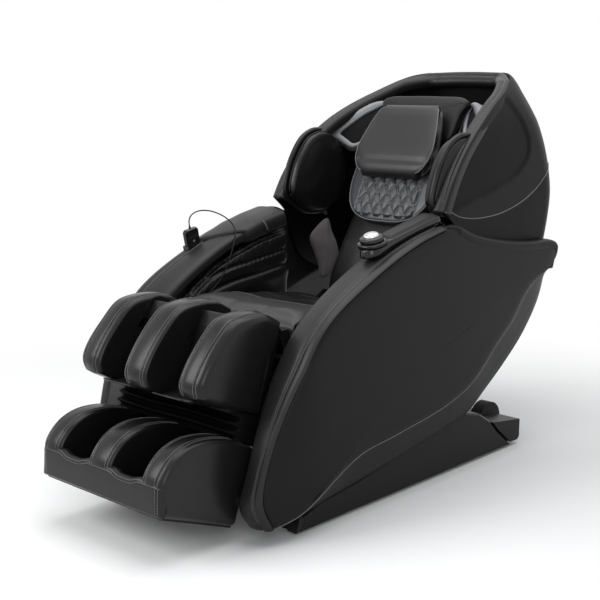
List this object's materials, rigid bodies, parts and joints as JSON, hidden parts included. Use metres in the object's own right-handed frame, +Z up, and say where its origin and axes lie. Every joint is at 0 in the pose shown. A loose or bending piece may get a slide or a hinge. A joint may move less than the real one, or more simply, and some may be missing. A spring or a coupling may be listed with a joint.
{
  "type": "massage chair",
  "caption": "Full body massage chair with a hooded reclining back, padded arms with a control knob and wired handset, and a lifting calf and foot rest on a sliding base",
  "frame": {"origin": "centre of the footprint, on the floor", "axes": "+X to the sitter's left, +Y to the rear, +Z up; the chair faces -Y"},
  "size_m": [0.77, 1.6523, 1.2099],
  "materials": {
    "black_leather": "satin, fine grain, wrinkled where it folds",
    "charcoal_leather": "satin, smooth, double stitched",
    "suede": "short napped suede",
    "quilted_leather": "satin, diamond quilted",
    "shell_plastic": "fine satin texture",
    "gloss_plastic": "polished",
    "chrome_trim": "polished",
    "silver_plastic": "silver lacquer",
    "screen_glass": "polished dark glass",
    "rubber_black": "matt",
    "frame_steel": "satin black powder coat",
    "bare_steel": "ground and lightly oiled",
    "drive_plastic": "moulded"
  },
  "bodies": {
    "base": {"base_frame": "frame_steel", "base_feet": "rubber_black", "base_covers": "shell_plastic", "rear_cover": "shell_plastic", "power_inlet": "gloss_plastic", "slide_drive": "drive_plastic", "air_pump": "drive_plastic"},
    "switch": {"power_switch": "gloss_plastic"},
    "wheels": {"transport_wheels": "rubber_black"},
    "carriage": {"carriage_frame": "frame_steel", "slide_rod": "bare_steel", "tilt_drive": "drive_plastic"},
    "tilt_ram": {"tilt_rod": "bare_steel"},
    "seat": {"seat_frame": "frame_steel", "seat_cushion": "black_leather", "arm_shell_left": "shell_plastic", "arm_shell_right": "shell_plastic", "arm_top_left": "charcoal_leather", "arm_top_right": "charcoal_leather", "arm_linings": "black_leather", "arm_console": "gloss_plastic", "handset_dock": "gloss_plastic", "handset_case": "gloss_plastic", "handset_screen": "screen_glass", "cord_sleeves": "rubber_black", "handset_cord": "rubber_black", "recline_drive": "drive_plastic", "leg_drive": "drive_plastic"},
    "knob": {"control_knob": "chrome_trim"},
    "key": {"handset_key": "silver_plastic"},
    "recline_ram": {"recline_rod": "bare_steel"},
    "leg_ram": {"leg_rod": "bare_steel"},
    "back": {"back_frame": "frame_steel", "guide_rails": "bare_steel", "back_cushion": "black_leather", "side_bolsters": "suede", "headrest_pad": "black_leather", "quilt_pad": "quilted_leather", "hood_shell": "shell_plastic", "hood_band": "charcoal_leather", "hood_lining": "black_leather", "shoulder_pads": "black_leather", "speakers": "silver_plastic"},
    "pillow": {"head_pillow": "black_leather"},
    "roller_unit": {"roller_carriage": "drive_plastic"},
    "kneader": {"massage_arms": "bare_steel"},
    "rollers_upper": {"upper_rollers": "rubber_black"},
    "rollers_lower": {"lower_rollers": "rubber_black"},
    "leg": {"leg_frame": "frame_steel", "calf_shell": "shell_plastic", "calf_lobe_left": "black_leather", "calf_lobe_middle": "black_leather", "calf_lobe_right": "black_leather"},
    "foot": {"foot_shell": "shell_plastic", "foot_rods": "bare_steel", "foot_apron": "black_leather", "foot_lobe_left": "black_leather", "foot_lobe_middle": "black_leather", "foot_lobe_right": "black_leather"},
    "sole_rollers": {"foot_rollers": "rubber_black"}
  },
  "joints": [
    {"name": "carriage_slide", "type": "slide", "parent": "base", "child": "carriage", "axis": [0, -1, 0], "range_m": [0, 0.12]},
    {"name": "seat_tilt", "type": "hinge", "parent": "carriage", "child": "seat", "pos_m": [0, 0.288, 0.15], "axis": [-1, 0, 0], "range_deg": [0, 12]},
    {"name": "back_recline", "type": "hinge", "parent": "seat", "child": "back", "pos_m": [0, 0.22, 0.42], "axis": [-1, 0, 0], "range_deg": [0, 36]},
    {"name": "leg_lift", "type": "hinge", "parent": "seat", "child": "leg", "pos_m": [0, -0.36, 0.52], "axis": [-1, 0, 0], "range_deg": [0, 55]},
    {"name": "foot_slide", "type": "slide", "parent": "leg", "child": "foot", "axis": [0, -0.3584, -0.9336], "range_m": [0, 0.11]},
    {"name": "knob_turn", "type": "hinge", "parent": "seat", "child": "knob", "pos_m": [0.306, -0.1, 0.748], "axis": [0, -0.2599, 0.9656], "continuous": true},
    {"name": "key_press", "type": "slide", "parent": "seat", "child": "key", "axis": [-1, 0, 0], "range_m": [0, 0.0007], "stiffness_N_per_m": 300},
    {"name": "power_rocker", "type": "hinge", "parent": "base", "child": "switch", "pos_m": [-0.096, 0.64, 0.04], "axis": [-1, 0, 0], "range_deg": [-14, 0]},
    {"name": "wheel_roll", "type": "hinge", "parent": "base", "child": "wheels", "pos_m": [0, 0.608, 0.066], "axis": [1, 0, 0], "continuous": true},
    {"name": "pillow_flip", "type": "hinge", "parent": "back", "child": "pillow", "pos_m": [0, 0.50104, 1.1119], "axis": [-1, 0, 0], "range_deg": [0, 80]},
    {"name": "roller_climb", "type": "slide", "parent": "back", "child": "roller_unit", "axis": [0, 0.4695, 0.8829], "range_m": [-0.15, 0.19]},
    {"name": "knead", "type": "hinge", "parent": "roller_unit", "child": "kneader", "pos_m": [0, 0.48533, 0.69894], "axis": [1, 0, 0], "range_deg": [-6, 6]},
    {"name": "upper_roll", "type": "hinge", "parent": "kneader", "child": "rollers_upper", "pos_m": [0, 0.48453, 0.77411], "axis": [1, 0, 0], "continuous": true},
    {"name": "lower_roll", "type": "hinge", "parent": "kneader", "child": "rollers_lower", "pos_m": [0, 0.42256, 0.65757], "axis": [1, 0, 0], "continuous": true},
    {"name": "sole_roll", "type": "hinge", "parent": "foot", "child": "sole_rollers", "pos_m": [0, -0.70076, 0.10666], "axis": [1, 0, 0], "continuous": true},
    {"name": "tilt_rod_slide", "type": "slide", "parent": "carriage", "child": "tilt_ram", "axis": [0, 0.5903, 0.8072], "range_m": [0, 0.093]},
    {"name": "recline_rod_slide", "type": "slide", "parent": "seat", "child": "recline_ram", "axis": [0, -0.7892, 0.6141], "range_m": [0, 0.0628]},
    {"name": "leg_rod_slide", "type": "slide", "parent": "seat", "child": "leg_ram", "axis": [0, -0.5515, 0.8342], "range_m": [0, 0.0735]}
  ],
  "couplings": [
    {"joint": "tilt_rod_slide", "follows": "seat_tilt", "m_per_rad": 0.4388},
    {"joint": "recline_rod_slide", "follows": "back_recline", "m_per_rad": 0.09833},
    {"joint": "leg_rod_slide", "follows": "leg_lift", "m_per_rad": 0.07579}
  ]
}
